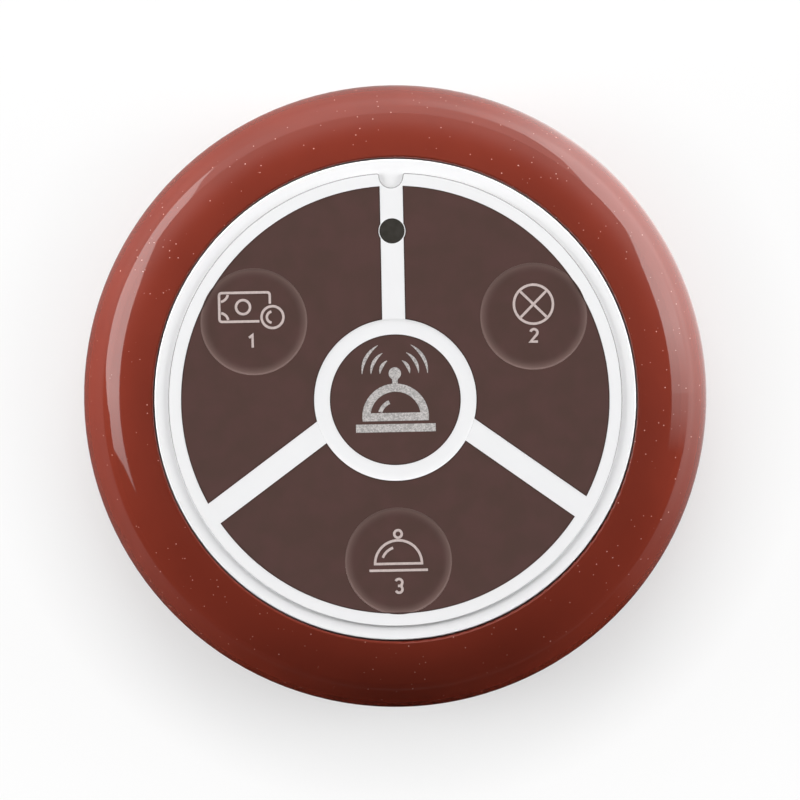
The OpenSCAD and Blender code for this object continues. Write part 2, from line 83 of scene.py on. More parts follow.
def a_level(name, description, level, most=100.0):
    return FloatProperty(name=name, description=description, min=0.0, max=most, default=level)


# Sizes and colours


class RingSettings(bpy.types.PropertyGroup):
    plastic: a_colour("Plastic", "Colour of the glossy ring", (119, 47, 34))
    glitter: a_colour("Glitter", "Colour of the specks in the plastic", (255, 205, 190))
    glitter_size: a_length("Glitter size", "Radius of a speck", 0.085)
    glitter_spacing: a_length("Glitter spacing", "Distance between places for a speck", 0.9)
    glitter_share: a_level("Glitter share", "Share of the places that hold a speck", 0.8, most=1.0)


class FaceSettings(bpy.types.PropertyGroup):
    white: a_colour("White", "Colour of the film's bare parts", (241, 241, 242))
    rim: a_colour("Rim", "Colour of the bare rim round the film", (247, 247, 248))
    dark: a_colour("Dark print", "Colour of the printed sectors", (84, 63, 58))
    dark_edge: a_colour("Edge line", "Colour of the fine line round the dark print", (62, 46, 43))
    # Painted sheen: the dark print is painted paler near a dish's edge, where its slope catches the light
    painted_sheen: a_colour("Haze", "Colour of the dark print where a dish stretches it", (120, 99, 94))
    edge_line_w: a_length("Edge line width", "Width of the line round the dark print", 0.13)
    print_r: a_length("Print radius", "Outer radius of the dark sectors", 27.45)
    spoke_w: a_length("Spoke width", "Width of the white spokes between the sectors", 2.95)
    spoke_meet: a_length("Spoke meeting", "Height above the centre where the low spokes cross", 2.9)
    spoke_angle: an_angle("Spoke angle", "Fall of the two low spokes", 36)
    disc_r: a_length("Disc radius", "Radius of the dark disc on the centre key", 8.38)
    light_border: a_length("Light border", "Width of the white border round the light window", 0.13)
    print_t: a_length("Print thickness", "How far a print stands above what carries it", 0.012)
    film_edge_w: a_length("Film edge width", "Width of the rounding at the film's outer edge", 0.14)


class KeySettings(bpy.types.PropertyGroup):
    slope_w: a_length("Slope width", "Width of an outer dish's sloped edge", 1.2)
    call_slope_w: a_length("Centre slope width", "Width of the centre dish's sloped edge", 0.8)
    call_depth: a_length("Centre depth", "Depth of the centre dish", 0.04)
    lip_w: a_length("Lip width", "Width of the steep lip at a dish's edge", 0.08)
    crease_w: a_length("Crease width", "Width of the rounded crease round a dish", 0.08)
    # Width of the painted sheen at a dish's edge, a paler band of print that stands in for the lit slope
    painted_sheen_w: a_length("Haze width", "Width of the stretched, paler film at a dish's edge", 1.3)
    gap: a_length("Gap", "Fine gap round a press zone", 0.008)
    nub_d: a_length("Nub diameter", "Diameter of the nub below a press zone", 3.5)


class PrintSettings(bpy.types.PropertyGroup):
    ink: a_colour("Ink", "Colour of the fine lines", (208, 192, 188))
    silver: a_colour("Silver ink", "Colour of the speckled centre symbol", (196, 192, 190))
    line_w: a_length("Line width", "Width of the fine lines", 0.32)
    bold_w: a_length("Bold width", "Width of the centre symbol's lines", 1.03)
    numeral_h: a_length("Numeral height", "Height of the numerals", 1.6)


class BaseSettings(bpy.types.PropertyGroup):
    plastic: a_colour("Base plastic", "Colour of the base and its door", (62, 34, 28))
    rubber: a_colour("Rubber", "Colour of the feet", (34, 33, 33))


class StageSettings(bpy.types.PropertyGroup):
    distance: a_length("Camera distance", "From the camera to the face", 3000)
    lens: FloatProperty(name="Lens", description="Focal length, 36 mm sensor", unit="CAMERA", default=1050.4)
    lean: an_angle("Lean", "How far the camera leans towards the notch", 2.8)
    roll: an_angle("Roll", "How far the camera turns clockwise", 1.13)
    aim_x: a_length("Aim right", "Where the camera points, right of the middle", 0.6)
    aim_y: a_length("Aim up", "Where the camera points, above the middle", -0.503, least=-40)
    aim_z: a_length("Aim height", "Height above the table at which the camera points", 9.8)
    softbox: a_level("Softboxes", "Brightness of the softboxes", 5.0)
    overhead: a_level("Overhead", "Brightness of the sky above", 0.1)
    backdrop: a_level("Backdrop", "Brightness behind the notch", 1.9)
    key_light: a_level("Key light", "Brightness of the main lamp", 0.54)
    key_rise: an_angle("Key light height", "How high the main lamp stands behind the notch", 28)
    side_light: a_level("Side lights", "Brightness of the side lamps", 0.72)


class CallButtonSettings(bpy.types.PropertyGroup):
    ring: PointerProperty(type=RingSettings)
    face: PointerProperty(type=FaceSettings)
    keys: PointerProperty(type=KeySettings)
    print: PointerProperty(type=PrintSettings)
    base: PointerProperty(type=BaseSettings)
    stage: PointerProperty(type=StageSettings)


def settings():
    return bpy.context.scene.call_button


# Finishes

# Above that of plastic: with it, dim softboxes give bright highlights
RING_IOR = 1.8
# Depths below the film's top between which its white gives way to the grey of its cut edge, and that grey at
# both ends of its run along Y: painted shade, a shade line at the film's foot, painted darker towards the
# notch
CUT_START, CUT_END = 0.5 * MICRON, 6 * MICRON
EDGE_SHADE_PALE, EDGE_SHADE_DARK = linear(228, 228, 230), linear(132, 130, 131)


class Nodes:
    """Adds nodes to a tree and links them; its place is where the textures are laid out."""

    def __init__(self, tree, place="Object"):
        self.tree = tree
        self.place = self.add("TexCoord").outputs[place]

    def add(self, kind, inputs=(), **options):
        node = self.tree.nodes.new("ShaderNode" + kind)
        for name, value in options.items():
            setattr(node, name, value)
        for socket, value in dict(inputs).items():
            self.feed(node.inputs[socket], value)
        return node

    def feed(self, socket, value):
        if isinstance(value, bpy.types.NodeSocket):
            self.tree.links.new(value, socket)
        else:
            socket.default_value = value

    def stretch(self, value, low, high, new_low=0.0, new_high=1.0, **options):
        inputs = {"Value": value, "From Min": low, "From Max": high, "To Min": new_low, "To Max": new_high}
        return self.add("MapRange", inputs, **options).outputs["Result"]

    def math(self, operation, first, second):
        return self.add("Math", {0: first, 1: second}, operation=operation).outputs[0]

    def axis(self, letter):
        return self.add("SeparateXYZ", {0: self.place}).outputs[letter]

    def reach(self):
        """Distance from the middle."""
        return self.add("VectorMath", {0: self.place}, operation="LENGTH").outputs["Value"]


class Finish(Nodes):
    """A material of the object being made."""

    def __init__(self, name):
        self.material = bpy.data.materials.new(name)
        self.material.use_nodes = True
        super().__init__(self.material.node_tree)
        self.shader = self.tree.nodes["Principled BSDF"]

    def set(self, **inputs):
        for name, value in inputs.items():
            self.feed(self.shader.inputs[name.replace("_", " ")], value)
        return self.material

    def noise(self, size, detail, place=None):
        """Noise whose blotches are about as wide as the size."""
        inputs = {"Vector": place or self.place, "Scale": 1 / size, "Detail": detail}
        return self.add("TexNoise", inputs).outputs["Fac"]

    def cells(self, size, **options):
        return self.add("TexVoronoi", {"Vector": self.place, "Scale": 1 / size}, **options)

    def blend(self, share, first, second):
        """Colour between two colours, or textures of colours."""
        pick = {0: share, 6: paint(first), 7: paint(second)}
        return self.add("Mix", pick, data_type="RGBA").outputs[2]

    def mottle(self, size, first, second, detail=2.0, low=0.3, high=0.7):
        """Colour that drifts between two colours, as noise of a size goes from low to high."""
        return self.blend(self.stretch(self.noise(size, detail), low, high), first, second)

    def bump(self, height, depth):
        return self.add("Bump", {"Height": height, "Distance": depth}).outputs["Normal"]

    def grain(self, fine, smoothest, roughest, depth):
        """Sheen and relief that both follow one fine texture."""
        sheen = self.stretch(fine, 0.3, 0.7, smoothest, roughest)
        return self.set(Roughness=sheen, Normal=self.bump(fine, depth))


def paint(colour):
    """A colour as a socket takes it, or the socket itself."""
    return colour if isinstance(colour, bpy.types.NodeSocket) else (*colour[:3], 1.0)


def shade(colour, factor):
    return tuple(min(1.0, channel * factor) for channel in colour[:3])


def mottled_finish(name, size, first, second, detail=2.0, low=0.3, high=0.7, **inputs):
    """A material whose colour drifts between two colours; the inputs are the shader's own."""
    finish = Finish(name)
    return finish.set(Base_Color=finish.mottle(size, first, second, detail, low, high), **inputs)


def ring_finish():
    """Glossy moulded plastic with fine, sparse glitter below its surface."""
    chosen = settings().ring
    finish = Finish("ring_gloss_plastic")
    body = finish.mottle(14 * MM, shade(chosen.plastic, 0.94), shade(chosen.plastic, 1.06), 3.0, 0.35, 0.65)
    place = finish.cells(chosen.glitter_spacing)
    reach = chosen.glitter_size / chosen.glitter_spacing
    speck = finish.stretch(place.outputs["Distance"], reach, 0.6 * reach)
    picked = finish.add("SeparateColor", {0: place.outputs["Color"]})
    shown = finish.math("LESS_THAN", picked.outputs[0], chosen.glitter_share)
    brightness = finish.stretch(picked.outputs[1], 0.0, 1.0, 0.2, 0.85)
    glitter = finish.math("MULTIPLY", finish.math("MULTIPLY", speck, shown), brightness)
    colour = finish.blend(glitter, body, chosen.glitter)
    wave = finish.bump(finish.noise(6 * MM, 1.0), 3 * MICRON)
    return finish.set(Base_Color=colour, Roughness=0.045, IOR=RING_IOR, Normal=wave)


def satin_plastic(name, colour, grain=0.25 * MM, depth=6 * MICRON, rough=0.38):
    """Moulded plastic with a fine grain and slightly uneven sheen."""
    finish = Finish(name)
    finish.set(Base_Color=finish.mottle(9 * MM, shade(colour, 0.98), colour, 3.0))
    return finish.grain(finish.noise(grain, 3.0), rough - 0.05, rough + 0.05, depth)


def film_finish(top):
    """White satin film; its cut edge shows a greyer core, deepened into painted shade: a painted shade line
    at the film's foot, painted darker on the notch's side.
    """
    finish = Finish("film_white")
    white = settings().face.white
    body = finish.mottle(9 * MM, shade(white, 0.98), white, 3.0)
    cut = finish.stretch(finish.axis("Z"), top - CUT_START, top - CUT_END)
    # Painted shade: the cut edge's grey, darker towards the notch, stands in for the shade line at the film's
    # foot
    painted_edge_shade = finish.blend(finish.stretch(finish.axis("Y"), -22 * MM, 0.0), EDGE_SHADE_PALE, EDGE_SHADE_DARK)
    finish.set(Base_Color=finish.blend(cut, body, painted_edge_shade))
    return finish.grain(finish.noise(0.15 * MM, 3.0), 0.4, 0.48, 2 * MICRON)


def dark_film_finish(name="dark_film_print", dish=None):
    """Screen print on the back of a satin film: slightly blotchy, and painted paler near a dish's edge as a
    painted sheen of its lit slope.
    """
    finish = Finish(name)
    face = settings().face
    warm = (face.dark[0] * 1.06, face.dark[1] * 0.99, face.dark[2] * 1.04)
    body = finish.mottle(2.6 * MM, shade(face.dark, 0.93), warm, low=0.35, high=0.65)
    if dish:
        middle, radius = dish
        flat = finish.add("CombineXYZ", {0: finish.axis("X"), 1: finish.axis("Y")}).outputs[0]
        reach = finish.add("VectorMath", {0: flat, 1: (*middle, 0.0)}, operation="DISTANCE").outputs["Value"]
        # Painted sheen: the print goes paler towards a dish's edge, standing in for the light its slope
        # catches
        near_edge = finish.stretch(reach, radius - settings().keys.painted_sheen_w, radius)
        body = finish.blend(finish.math("MULTIPLY", near_edge, near_edge), body, face.painted_sheen)
    finish.set(Base_Color=body)
    return finish.grain(finish.noise(0.12 * MM, 2.0), 0.36, 0.44, 1.5 * MICRON)


def edge_ink_finish():
    """The same print where two passes overlap at its edge."""
    dark = settings().face.dark_edge
    return mottled_finish("dark_edge_ink", 0.8 * MM, shade(dark, 0.9), shade(dark, 1.12), Roughness=0.42)


def line_ink_finish():
    """Fine light lines, a little thin in places where the screen left less ink."""
    ink = settings().print.ink
    return mottled_finish("line_ink", 0.22 * MM, ink, shade(ink, 0.8), 3.0, high=0.75, Roughness=0.4)


def silver_ink_finish():
    """Silver ink whose flakes show as fine lighter and darker specks."""
    finish = Finish("silver_ink")
    silver = settings().print.silver
    lit = finish.add("SeparateColor", {0: finish.cells(0.16 * MM).outputs["Color"]}).outputs[0]
    body = finish.blend(finish.stretch(lit, 0.1, 0.9), shade(silver, 0.72), shade(silver, 1.22))
    return finish.set(Base_Color=body, Metallic=0.15, Roughness=0.38)


def window_finish():
    """Dark tinted window over the diode."""
    return mottled_finish("window_tint", 1.2 * MM, linear(54, 52, 48), linear(64, 61, 57), Roughness=0.22)


def base_finish():
    """Spark-eroded plastic of the base and its door."""
    plastic = settings().base.plastic
    finish = Finish("base_eroded_plastic")
    finish.set(Base_Color=finish.mottle(7 * MM, shade(plastic, 0.9), shade(plastic, 1.1)))
    return finish.grain(finish.noise(0.3 * MM, 4.0), 0.5, 0.66, 22 * MICRON)


def rubber_finish():
    """Matte rubber with a powdery bloom."""
    rubber = settings().base.rubber
    finish = Finish("foot_rubber")
    body = finish.mottle(1.1 * MM, rubber, shade(rubber, 1.6), 4.0, 0.35, 0.75)
    relief = finish.bump(finish.noise(0.2 * MM, 3.0), 15 * MICRON)
    return finish.set(Base_Color=body, Roughness=0.82, Normal=relief)


def metal_finish(name, colour, rough):
    """Plated or drawn metal with fine lines and small stains."""
    finish = Finish(name)
    lines = finish.add("Mapping", {"Vector": finish.place, "Scale": (6.0, 1.0, 1.0)}).outputs[0]
    finish.set(Base_Color=finish.mottle(2 * MM, colour, shade(colour, 0.82), 3.0, 0.35, 0.7), Metallic=1.0)
    return finish.grain(finish.noise(0.35 * MM, 3.0, lines), rough - 0.08, rough + 0.1, 4 * MICRON)


def board_finish():
    """Green solder mask with the relief of the copper tracks below it."""
    finish = Finish("board_solder_mask")
    tracks = finish.cells(2.4 * MM, distance="MANHATTAN").outputs["Distance"]
    copper = finish.stretch(tracks, 0.42, 0.46)
    mask = finish.blend(copper, linear(24, 92, 48), linear(44, 122, 62))
    return finish.set(Base_Color=mask, Roughness=0.3, Normal=finish.bump(copper, 30 * MICRON))


def lens_finish():
    """Milky epoxy of the diode."""
    clear, milky = linear(206, 222, 208), linear(226, 236, 226)
    return mottled_finish("diode_epoxy", 0.6 * MM, clear, milky, Roughness=0.12, IOR=1.54)


def epoxy_finish():
    """Black moulded epoxy of the small parts on the board."""
    return satin_plastic("part_epoxy", linear(38, 38, 40), grain=0.1 * MM, depth=8 * MICRON, rough=0.55)


def ceramic_finish():
    """Fired ceramic with brown specks."""
    pale, brown = linear(196, 178, 146), linear(168, 146, 112)
    return mottled_finish("capacitor_ceramic", 0.25 * MM, pale, brown, 4.0, low=0.4, Roughness=0.5)


def sleeve_finish():
    """Shrink sleeve of the battery: gold-coloured, with a dark band at its flat end and a bare nub."""
    band_share, nub_l, blur = 0.3, 1.5 * MM, 0.05 * MM
    low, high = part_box("battery")
    finish = Finish("battery_sleeve")
    band_end = low.x + band_share * (high.x - low.x)
    along = finish.stretch(finish.axis("X"), band_end - blur, band_end + blur)
    nub = finish.stretch(finish.axis("X"), high.x - nub_l - 2 * blur, high.x - nub_l)
    sleeve = finish.blend(along, linear(42, 40, 42), linear(206, 170, 92))
    body = finish.blend(nub, sleeve, linear(196, 198, 200))
    wrinkles = finish.bump(finish.noise(1.8 * MM, 3.0), 25 * MICRON)
    return finish.set(Base_Color=body, Metallic=0.6, Roughness=0.32, Normal=wrinkles)


# Meshes

LATHE_STEPS = 256
# Least cosine in a mitre, so that a sharp corner isn't drawn far out
MITRE_COSINE = 0.5


def linked(name, data):
    """A new object in the scene."""
    made = bpy.data.objects.new(name, data)
    bpy.context.scene.collection.objects.link(made)
    return made


def mesh_object(name, points, faces, material):
    mesh = bpy.data.meshes.new(name)
    mesh.from_pydata(points, [], faces)
    mesh.validate()
    mesh.update()
    mesh.materials.append(material)
    return linked(name, mesh)


def piece(name, shape, finish, body, smooth=True):
    """A piece of the object from vertices and faces, riding on a body."""
    made = mesh_object(name, *shape, finish)
    if smooth:
        made.data.polygons.foreach_set("use_smooth", [True] * len(made.data.polygons))
        made.data.set_sharp_from_angle(angle=math.radians(30))
    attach(made, body)
    return made


def join(shapes):
    """Several shapes as one list of vertices and faces."""
    points, faces = [], []
    for more_points, more_faces in shapes:
        faces += [[len(points) + corner for corner in face] for face in more_faces]
        points += more_points
    return points, faces


def pairs(loop):
    """Each item of a closed loop with the one after it."""
    return list(zip(loop, loop[1:] + loop[:1]))


def turns_left(loop):
    """Whether a closed loop runs anticlockwise."""
    return sum(a[0] * b[1] - b[0] * a[1] for a, b in pairs(loop)) > 0


def shares(steps):
    return [i / steps for i in range(steps + 1)]


def arc(middle, radius, start, end, steps):
    """Points on an arc, from one angle to another in degrees."""
    angles = [math.radians(start + (end - start) * t) for t in shares(steps)]
    return [(middle[0] + radius * math.cos(a), middle[1] + radius * math.sin(a)) for a in angles]


def circle(middle, radius, steps):
    return arc(middle, radius, 0, 360, steps)[:-1]


def bands(rings):
    """Faces between rings of vertices, given from the lowest ring up."""
    faces = []
    for lower, upper in zip(rings, rings[1:]):
        for (a, b), (d, c) in zip(pairs(lower), pairs(upper)):
            faces.append(list(dict.fromkeys((a, b, c, d))))
    return faces


def lathe(profile, middle):
    """A profile of (radius, height), from the axis to the axis, turned round an upright axis."""
    points, rings = [], []
    for radius, height in profile:
        if radius == 0:
            rings.append([len(points)] * LATHE_STEPS)
            points.append((*middle, height))
            continue
        rings.append(list(range(len(points), len(points) + LATHE_STEPS)))
        points.extend((x, y, height) for x, y in circle(middle, radius, LATHE_STEPS))
    return points, bands(rings)


def plate(loops, low, high):
    """A flat plate between two heights, from an outer loop and any holes."""
    corners = [point for loop in loops for point in loop]
    count = len(corners)
    points = [(x, y, low) for x, y in corners] + [(x, y, high) for x, y in corners]
    faces = []
    for triangle in tessellate_polygon([[Vector((x, y, 0)) for x, y in loop] for loop in loops]):
        if not turns_left([corners[i] for i in triangle]):
            triangle = triangle[::-1]
        faces.append([i + count for i in triangle])
        faces.append(list(triangle[::-1]))
    start = 0
    for index, loop in enumerate(loops):
        outward = turns_left(loop) == (index == 0)
        for a, b in pairs(list(range(start, start + len(loop)))):
            wall = [a, b, b + count, a + count]
            faces.append(wall if outward else wall[::-1])
        start += len(loop)
    return points, faces


def skirted_plate(edge, holes, low, section):
    """A flat plate whose outer edge follows a section of (inset, height), given from the top level down."""
    loops = [inset_line(edge, 2 * inset) if inset else edge for inset, _ in section]
    points, faces = plate([loops[0], *holes], low, section[0][1])
    count, upper_start = len(edge), len(points) // 2
    faces = [face for face in faces if len(face) == 3 or min(face) >= count]
    points[:count] = [(x, y, low) for x, y in edge]
    rings = [list(range(upper_start, upper_start + count))]
    for loop, (_, height) in zip(loops[1:], section[1:]):
        rings.append(list(range(len(points), len(points) + count)))
        points.extend((x, y, height) for x, y in loop)
    rings.append(list(range(count)))
    return points, faces + bands(rings[::-1])


def mitres(path, closed):
    """Each point of a path, the direction along it there, and the cosine that divides a half-width there."""
    count = len(path)
    for i, (x, y) in enumerate(path):
        before = path[(i - 1) % count] if closed or i else path[i]
        after = path[(i + 1) % count] if closed or i < count - 1 else path[i]
        back, ahead = Vector((x - before[0], y - before[1])), Vector((after[0] - x, after[1] - y))
        back, ahead = back if back.length else ahead, ahead if ahead.length else back
        back, ahead = back.normalized(), ahead.normalized()
        along = (back + ahead).normalized()
        yield x, y, along, max(MITRE_COSINE, along.dot(ahead))


def stroke(path, width, low, high, closed=False):
    """A ribbon along a path; the width is one value, or a function of the share of the way along."""
    count = len(path)
    points = []
    for i, (x, y, along, cosine) in enumerate(mitres(path, closed)):
        half = (width(i / (count - 1)) if callable(width) else width) / 2 / cosine
        left, right = (x - along.y * half, y + along.x * half), (x + along.y * half, y - along.x * half)
        points += [(*left, low), (*right, low), (*right, high), (*left, high)]
    faces = []
    for i in range(count if closed else count - 1):
        a, b = 4 * i, 4 * ((i + 1) % count)
        faces += [[a + k, a + n, b + n, b + k] for k, n in pairs([0, 1, 2, 3])]
    if not closed:
        last = 4 * (count - 1)
        faces += [[3, 2, 1, 0], [last, last + 1, last + 2, last + 3]]
    return points, faces


def inset_line(outline, width):
    """Line half a width inside an outline, which is the middle line of an edge line there."""
    sense = 1 if turns_left(outline) else -1
    made = []
    for x, y, along, cosine in mitres(outline, closed=True):
        step = sense * width / 2 / cosine
        made.append((x - along.y * step, y + along.x * step))
    return made


def rounded(path, radius, closed=False):
    """A path with its corners rounded."""
    made = []
    for i, point in enumerate(path):
        if not closed and i in (0, len(path) - 1):
            made.append(point)
            continue
        corner = Vector(point)
        start, end = (
            corner + (Vector(path[k % len(path)]) - corner).normalized() * radius for k in (i - 1, i + 1)
        )
        made += [tuple(start * (1 - t) ** 2 + corner * 2 * t * (1 - t) + end * t * t) for t in shares(5)]
    return made


def line_hits_circle(point, direction, radius):
    """Where a line from a point leaves a circle round the origin."""
    p, d = Vector(point), Vector(direction).normalized()
    along = p.dot(d)
    return p + d * (-along + math.sqrt(along * along - p.dot(p) + radius * radius))


def key_place(key):
    """Middle, radius, lowest and highest level of a press zone."""
    low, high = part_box(key + "_key")
    return ((low.x + high.x) / 2, (low.y + high.y) / 2), (high.x - low.x) / 2, low.z, high.z


# Pieces

WINDOW_GAP = 0.02 * MM
# The notch's points lie this near the middle line, and beyond this along Y
NOTCH_X, NOTCH_Y = 3 * MM, 25 * MM
# Height of the notch without its corners, and their radius
NOTCH_H, NOTCH_CORNER_R = 1.45 * MM, 0.35 * MM
# Inset of the loop that keeps the film's top flat beside its rounded edge, as a share of that edge's width
FLAT_INSET = 1.3
# How far an edge line stands above its print
EDGE_RISE = 3 * MICRON


def dress(finish, *nodes):
    """Gives carried-over solids their finish."""
    for node in nodes:
        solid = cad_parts[node]
        solid.data.materials.clear()
        solid.data.materials.append(finish)


class CALLBUTTON_OT_ring(bpy.types.Operator):
    """Finish of the outer ring"""

    bl_idname = "callbutton.ring"
    bl_label = "Outer Ring"
    bl_options = {"REGISTER", "UNDO"}

    def execute(self, context):
        dress(ring_finish(), "outer_ring")
        return {"FINISHED"}


class CALLBUTTON_OT_frame(bpy.types.Operator):
    """Finish of the white rim and of the light window"""

    bl_idname = "callbutton.frame"
    bl_label = "Rim and Window"
    bl_options = {"REGISTER", "UNDO"}

    def execute(self, context):
        chosen = context.scene.call_button
        dress(satin_plastic("rim_white_plastic", chosen.face.rim), "face_frame")
        dress(window_finish(), "light_window")
        return {"FINISHED"}


def window_place():
    """Middle of the window, and its radius where it shows, which is its top without the flange below it."""
    low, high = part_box("light_window")
    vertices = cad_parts["light_window"].data.vertices
    radius = max(v.co.x for v in vertices if v.co.z > high.z - 10 * MICRON)
    return (0.0, (low.y + high.y) / 2), radius


def film_outline():
    """Edge of the film with its notch, taken from the film's own solid."""
    low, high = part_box("overlay_film")
    radius = (high.x - low.x) / 2
    top = [v.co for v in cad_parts["overlay_film"].data.vertices if v.co.z > high.z - MICRON]
    rim = [p for p in top if abs(p.x) < NOTCH_X and p.y > NOTCH_Y]
    notch_y = min(p.y for p in rim)
    half_w = max(abs(p.x) for p in rim if p.y < notch_y + NOTCH_H)
    notch = arc((0.0, notch_y + half_w), half_w, 180, 360, 24)
    corner_r, corner_x = NOTCH_CORNER_R, half_w + NOTCH_CORNER_R
    corner_y = math.sqrt((radius - corner_r) ** 2 - corner_x**2)
    start = math.degrees(math.atan2(corner_x, corner_y))
    left = arc((-corner_x, corner_y), corner_r, 90 + start, 0, 8)
    right = arc((corner_x, corner_y), corner_r, 180, 90 - start, 8)
    edge = arc((0.0, 0.0), radius, 90 - start, 90 + start - 360, 300)[1:-1]
    return (left + notch + right + edge)[::-1]


class CALLBUTTON_OT_film(bpy.types.Operator):
    """White face film with holes for the press zones and the light"""

    bl_idname = "callbutton.film"
    bl_label = "Face Film"
    bl_options = {"REGISTER", "UNDO"}

    def execute(self, context):
        chosen = context.scene.call_button
        low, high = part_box("overlay_film")
        middle, radius = window_place()
        holes = [circle(middle, radius + WINDOW_GAP, 64)]
        for key in KEYS:
            middle, radius, _, _ = key_place(key)
            holes.append(circle(middle, radius + chosen.keys.gap, LATHE_STEPS))
        edge_w = chosen.face.film_edge_w
        angles = [math.radians(15 * i) for i in range(7)]
        section = [(FLAT_INSET * edge_w, high.z)]
        section += [(edge_w * (1 - math.sin(a)), high.z - edge_w * (1 - math.cos(a))) for a in angles]
        shape = skirted_plate(film_outline(), holes, low.z, section)
        film = piece("face_film", shape, film_finish(high.z), "case")
        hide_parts("overlay_film")
        return {"FINISHED"}


def spokes(chosen):
    """The white spokes as (point on the middle line, direction), anticlockwise from the top."""
    fall = chosen.face.spoke_angle
    cross = (0.0, chosen.face.spoke_meet)
    return [
        ((0.0, 0.0), (0.0, 1.0)),
        (cross, (-math.cos(fall), -math.sin(fall))),
        (cross, (math.cos(fall), -math.sin(fall))),
    ]


def sector_outline(chosen, first, second, inner_r):
    """Outline of the dark sector between two spokes, anticlockwise from the first."""
    half = chosen.face.spoke_w / 2
    corners = []
    for (point, direction), side in ((first, 1), (second, -1)):
        edge = Vector(point) + side * half * Vector((-direction[1], direction[0]))
        corners.append([line_hits_circle(edge, direction, r) for r in (inner_r, chosen.face.print_r)])
    (start_in, start_out), (end_in, end_out) = corners
    return round_the_centre(start_out, end_out, 1) + round_the_centre(end_in, start_in, -1)


def round_the_centre(start, end, sense):
    """Arc round the origin between two points, anticlockwise for sense 1."""
    first = math.degrees(math.atan2(start[1], start[0]))
    last = math.degrees(math.atan2(end[1], end[0]))
    while sense * (last - first) < 0:
        last += sense * 360
    return arc((0.0, 0.0), math.hypot(*start), first, last, 90)


def window_bay(outline, chosen):
    """Adds the bay round the light window to the straight side of a sector beside the top spoke."""
    middle, radius = window_place()
    radius += chosen.face.light_border
    half = chosen.face.spoke_w / 2
    rise = math.degrees(math.acos(half / radius))
    made = []
    for (ax, ay), (bx, by) in pairs(outline):
        made.append((ax, ay))
        on_side = abs(abs(ax) - half) < MICRON and abs(ax - bx) < MICRON
        if on_side and min(ay, by) < middle[1] < max(ay, by):
            up = 1 if by > ay else -1
            heading, turn = (0, up * rise) if ax > 0 else (180, -up * rise)
            made += arc(middle, radius, heading - turn, heading + turn, 16)
    return made


class CALLBUTTON_OT_print(bpy.types.Operator):
    """Dark sectors printed on the film, with their fine edge lines"""

    bl_idname = "callbutton.print"
    bl_label = "Dark Sectors"
    bl_options = {"REGISTER", "UNDO"}

    def execute(self, context):
        chosen = context.scene.call_button
        film_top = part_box("overlay_film")[1].z
        low, high = film_top - chosen.face.print_t, film_top + chosen.face.print_t
        inner_r = key_place("call")[1] + chosen.keys.gap
        dark, edge_ink = dark_film_finish(), edge_ink_finish()
        places = spokes(chosen)
        line_w = chosen.face.edge_line_w
        for key, first, second in (("pay", 0, 1), ("order", 1, 2), ("cancel", 2, 0)):
            middle, radius, _, _ = key_place(key)
            outline = sector_outline(chosen, places[first], places[second], inner_r)
            outline = [p for p, q in pairs(outline) if math.dist(p, q) > MICRON]
            outline = window_bay(outline, chosen)
            hole = circle(middle, radius + chosen.keys.gap, LATHE_STEPS)
            sector = piece(key + "_sector", plate([outline, hole], low, high), dark, "case")
            line = stroke(inset_line(outline, line_w), line_w, low, high + EDGE_RISE, closed=True)
            piece(key + "_sector_edge", line, edge_ink, "case", smooth=False)
            sector.data.shade_flat()
        return {"FINISHED"}


def dish_profile(keys, radius, low, nub_low, top, slope_w, depth):
    """Half-section of a press zone: flat floor, slope, steep lip, rounded crease, wall, and the nub below."""
    floor = top - depth
    lip_h, crease_h = 0.4 * depth, 0.1 * depth
    slope_h = depth - lip_h - crease_h
    slope_r, crease_r, crease_z = radius - slope_w, radius - keys.crease_w, top - crease_h
    lip_r = crease_r - keys.lip_w
    section = [(0.0, floor), (0.5 * slope_r, floor)]
    section += [(slope_r + t * (lip_r - slope_r), floor + slope_h * t * t) for t in shares(12)]
    section += [(crease_r + t * keys.crease_w, crease_z + crease_h * (2 * t - t * t)) for t in shares(5)]
    section += [(radius, low), (keys.nub_d / 2, low), (keys.nub_d / 2, nub_low), (0.0, nub_low)]
    return section[::-1]


def dish_depth(key):
    """Depth of a dish; an outer one is read from its solid, from the edge down to the floor above the nub."""
    if key == "call":
        return settings().keys.call_depth
    rim_w = 0.5 * MM
    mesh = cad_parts[key + "_key"].data
    middle, radius, _, top = key_place(key)
    inner = [v.co.z for v in mesh.vertices if math.dist(v.co.xy, middle) < radius - rim_w]
    return top - max(inner)


def floor_levels(chosen, key):
    """Lowest and highest level of a print on a dish's floor."""
    floor = key_place(key)[3] - dish_depth(key)
    return floor - chosen.face.print_t, floor + chosen.face.print_t


